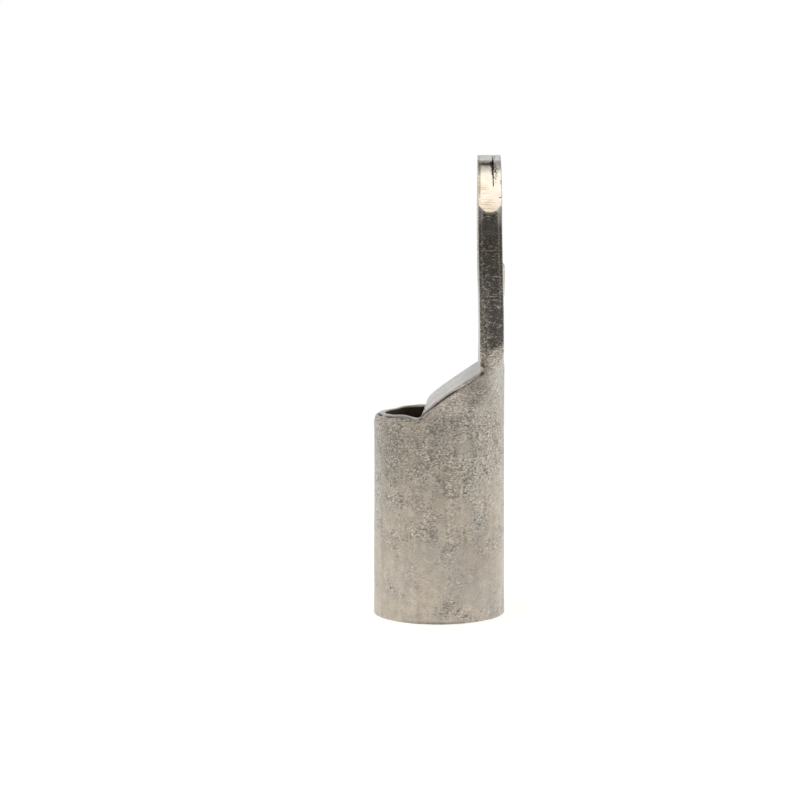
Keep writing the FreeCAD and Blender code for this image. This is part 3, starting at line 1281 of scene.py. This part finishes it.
        # painted shade and dirt, from how deep each point lies in a groove
        shade_and_dirt = add("ShaderNodeAttribute", attribute_name=GROOVE_SHADE_AND_DIRT).node.outputs["Fac"]
        for amount, cover in (
            (smudges, self.SMUDGE), (pits, self.PIT), (glints, self.GLINT), (shade_and_dirt, self.SHADE_AND_DIRT),
        ):
            share = add("ShaderNodeMath", {0: amount, 1: cover.share}, operation="MULTIPLY")
            both = {0: share, 6: colour, 7: to_linear(cover.colour)}
            colour = add("ShaderNodeMix", both, data_type="RGBA")
        rough = {0: fields["grain"], 1: self.GRAIN_ROUGHNESS, 2: amounts["roughness"]}
        roughness = add("ShaderNodeMath", rough, operation="MULTIPLY_ADD")
        dirty = {0: shade_and_dirt, 1: self.DIRT_ROUGHNESS, 2: roughness}
        roughness = add("ShaderNodeMath", dirty, operation="MULTIPLY_ADD")
        height = add("ShaderNodeMath", {0: fields["grain"], 1: amounts["grain"]}, operation="MULTIPLY")
        for name, share in self.BUMP_SHARES.items():
            raised = {0: fields[name], 1: share, 2: height}
            height = add("ShaderNodeMath", raised, operation="MULTIPLY_ADD")
        height = add("ShaderNodeMath", {0: pits, 1: self.PIT_BUMP, 2: height}, operation="MULTIPLY_ADD")
        bump = add("ShaderNodeBump", {"Height": height, "Strength": 1.0, "Distance": self.BUMP * MM})
        surface = add(
            "ShaderNodeBsdfPrincipled",
            {
                "Base Color": colour, "Metallic": 1.0, "Roughness": roughness, "Normal": bump,
                "Specular Tint": to_linear(self.EDGE_TINT),
                "Coat Weight": self.FILM, "Coat Roughness": self.FILM_ROUGHNESS,
            },
        )
        add("ShaderNodeOutputMaterial", {"Surface": surface})
        return self.material


@dataclass(frozen=True)
class Studio:
    """Plain pale floor, one large soft lamp overhead, a white backdrop and a dim room."""

    camera_at: Tuple[float, float, float] = (4.2, -276.165, 56.913)
    lens: float = 76.95
    sensor: float = 36.0
    shift: Tuple[float, float] = (-0.08145, -0.177)
    floor_reach: float = 300.0
    floor_front: float = -140.0
    lamp_size: Tuple[float, float] = (520.0, 600.0)
    lamp_at: Tuple[float, float, float] = (-60.0, -120.0, 470.0)
    lamp_level: float = 1.42
    floor_colour: str = "#e6e4e0"
    lamp_colour: str = "#fff8ee"
    # near the lug the floor is dimmer, so that the shadow shows, and further out it is plain white
    floor_level: Fade = Fade(40 * MM, 120 * MM, 0.55, 1.0)
    # the room is dim behind the camera, overhead around the lamp, and a little at the left
    behind_camera: Fade = Fade(-0.94, -0.2, 0.13, 0.82)
    around_lamp: Fade = Fade(0.64, 0.74, 1.0, 0.3)
    at_left: Fade = Fade(-0.9, 0.1, 0.72, 1.0)
    # the metal mirrors a white backdrop in front of the camera, which sees white all round
    backdrop: Fade = Fade(0.2, 0.75)

    def build(self) -> None:
        """Adds the camera, the floor, the lamp and the world."""
        self.add_camera()
        self.add_floor()
        self.add_lamp()
        self.add_world()
        bpy.context.scene.view_settings.view_transform = "Standard"

    def add_camera(self) -> None:
        """Adds the camera, level with the palm and looking along +Y."""
        lens = bpy.data.cameras.new("camera")
        lens.sensor_width = self.sensor
        lens.lens = self.lens
        lens.shift_x, lens.shift_y = self.shift
        lens.clip_start = 0.01
        lens.clip_end = 20.0
        camera = bpy.data.objects.new("camera", lens)
        camera.location = Vector(self.camera_at) * MM
        camera.rotation_euler = (math.pi / 2, 0.0, 0.0)
        bpy.context.scene.collection.objects.link(camera)
        bpy.context.scene.camera = camera

    def add_floor(self) -> None:
        """Adds the round board that the lug stands on, cut off straight towards the camera."""
        shape = bmesh.new()
        bmesh.ops.create_circle(shape, cap_ends=True, segments=96, radius=self.floor_reach * MM)
        everything = [*shape.verts, *shape.edges, *shape.faces]
        front = (0, self.floor_front * MM, 0)
        bmesh.ops.bisect_plane(
            shape, geom=everything, plane_co=front, plane_no=(0, -1, 0), clear_outer=True
        )
        mesh = bpy.data.meshes.new("floor")
        shape.to_mesh(mesh)
        shape.free()
        floor = bpy.data.objects.new("floor", mesh)
        bpy.context.scene.collection.objects.link(floor)
        mesh.materials.append(self.floor_material())

    def floor_material(self) -> bpy.types.Material:
        """Pale matte board. It is seen and mirrored white, with the lug's soft shadow on it.

        Returns:
            The finished material.
        """
        material = bpy.data.materials.new("pale_matte_board")
        material.use_nodes = True
        tree = material.node_tree
        tree.nodes.clear()
        add = partial(add_node, tree)
        paper = add("ShaderNodeBsdfDiffuse", {"Color": to_linear(self.floor_colour)})
        where = add("ShaderNodeTexCoord").node.outputs["Object"]
        away = add("ShaderNodeVectorMath", {0: where}, operation="LENGTH").node.outputs["Value"]
        level = add("ShaderNodeMapRange", self.floor_level.inputs(away))
        white = add("ShaderNodeEmission", {"Color": (1, 1, 1, 1), "Strength": level})
        both = add("ShaderNodeAddShader", {0: paper, 1: white})
        mixed = add("ShaderNodeMixShader", {0: seen_white(tree), 1: paper, 2: both})
        add("ShaderNodeOutputMaterial", {"Surface": mixed})
        return material

    def add_lamp(self) -> None:
        """Adds the soft overhead lamp. Its power is worked out from its level and its size."""
        lamp = bpy.data.lights.new("overhead_softbox", "AREA")
        lamp.shape = "RECTANGLE"
        lamp.size, lamp.size_y = (size * MM for size in self.lamp_size)
        lamp.energy = self.lamp_level * math.pi * lamp.size * lamp.size_y
        lamp.color = to_linear(self.lamp_colour)[:3]
        holder = bpy.data.objects.new("overhead_softbox", lamp)
        holder.location = Vector(self.lamp_at) * MM
        bpy.context.scene.collection.objects.link(holder)

    def add_world(self) -> None:
        """Adds the room: pale all round, white to the camera, and dim behind the camera."""
        world = bpy.data.worlds.new("studio")
        bpy.context.scene.world = world
        world.use_nodes = True
        tree = world.node_tree
        tree.nodes.clear()
        add = partial(add_node, tree)
        direction = add("ShaderNodeTexCoord").node.outputs["Generated"]
        across, along, up = add("ShaderNodeSeparateXYZ", {0: direction}).node.outputs
        smooth = {"interpolation_type": "SMOOTHSTEP"}
        level = add("ShaderNodeMapRange", self.behind_camera.inputs(along), **smooth)
        for fade, value in ((self.around_lamp, up), (self.at_left, across)):
            share = add("ShaderNodeMapRange", fade.inputs(value), **smooth)
            level = add("ShaderNodeMath", {0: level, 1: share}, operation="MULTIPLY")
        backdrop = add("ShaderNodeMapRange", self.backdrop.inputs(along))
        white = add("ShaderNodeMath", {0: seen_white(tree), 1: backdrop}, operation="MULTIPLY")
        to_camera = add("ShaderNodeLightPath").node.outputs["Is Camera Ray"]
        white = add("ShaderNodeMath", {0: white, 1: to_camera}, operation="MAXIMUM")
        strength = add("ShaderNodeMix", {0: white, 2: level, 3: 1.0})
        room = add("ShaderNodeBackground", {"Color": (1, 1, 1, 1), "Strength": strength})
        add("ShaderNodeOutputWorld", {"Surface": room})


def seen_white(tree: bpy.types.NodeTree) -> Socket:
    """Finds the rays that see the white background.

    Args:
        tree: The floor's or the world's tree.

    Returns:
        1 for camera, glossy and transmission rays, and 0 for the rest.
    """
    rays = add_node(tree, "ShaderNodeLightPath").node.outputs
    seen = rays["Is Camera Ray"]
    for name in ("Is Glossy Ray", "Is Transmission Ray"):
        seen = add_node(tree, "ShaderNodeMath", {0: seen, 1: rays[name]}, operation="MAXIMUM")
    return seen


def main() -> None:
    """Builds the lug and the studio."""
    logging.basicConfig(level=logging.INFO, format="%(name)s: %(message)s")
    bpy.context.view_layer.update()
    Studio().build()
    lug = Lug(LugSizes.from_frame(frame["record"]), frame["nodes"][NODE])
    piece = lug.build()
    lug.dress(piece)
    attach(piece, "root")
    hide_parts(NODE)


if __name__ == "__main__":
    main()
